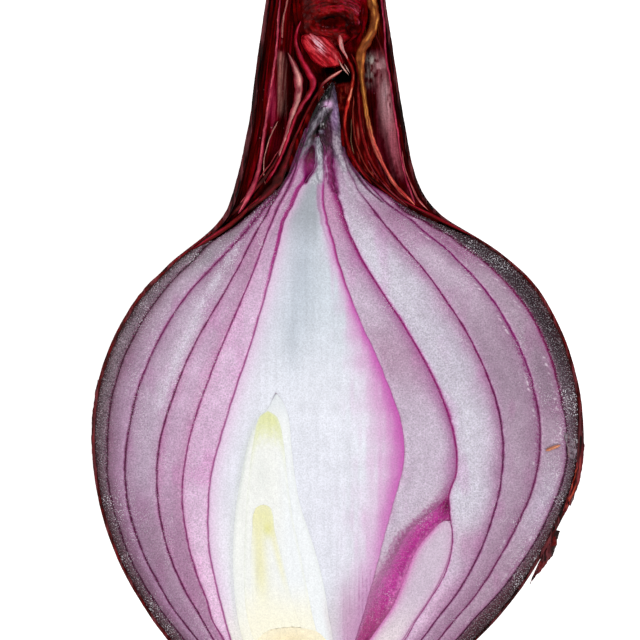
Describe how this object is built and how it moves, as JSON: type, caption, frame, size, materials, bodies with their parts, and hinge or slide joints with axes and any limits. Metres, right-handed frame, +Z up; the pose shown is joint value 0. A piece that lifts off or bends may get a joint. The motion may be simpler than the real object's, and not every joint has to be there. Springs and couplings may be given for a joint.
{
  "type": "halved red onion",
  "caption": "Red onion half, cut lengthwise through neck and base, on its rounded back: nested scales, side bud, young shoot, basal plate, papery skin, dried neck leaves.",
  "frame": {"origin": "under the middle of the bounding box, on the surface the half rests on", "axes": "+Z up and square to the level cut face, +Y from the base to the neck, +X towards the side bud"},
  "size_m": [0.0738, 0.1236, 0.0346],
  "materials": {
    "papery_skin": "dry, thin and slightly glossy, dark purple-red with paler veins",
    "dry_sheath": "dry, dark maroon with pink and tan edges",
    "dry_leaf": "dry, crumpled, crimson",
    "scale_dark": "half-dried, grey-purple, moist sparkle",
    "scale_flesh": "moist, translucent, white-lilac with magenta skin lines",
    "heart_flesh": "moist, translucent, bluish white with a pink band",
    "shoot": "moist, white to yellow-green",
    "plate": "firm, cream to tan, dry root stubs below"
  },
  "bodies": {
    "root": {"outer_skin": "papery_skin", "neck_sheath_outer": "dry_sheath", "neck_sheath_middle": "dry_sheath", "neck_sheath_inner": "dry_sheath", "neck_hood": "dry_sheath", "neck_leaf_crumpled": "dry_leaf", "neck_leaf_folded": "dry_leaf", "scale_1": "scale_dark", "scale_2": "scale_flesh", "scale_3": "scale_flesh", "scale_4": "scale_flesh", "scale_5": "scale_flesh", "scale_6": "heart_flesh", "side_bud": "scale_flesh", "shoot_sheath": "shoot", "shoot_leaf_outer": "shoot", "shoot_leaf_inner": "shoot", "basal_plate": "plate"}
  },
  "joints": []
}
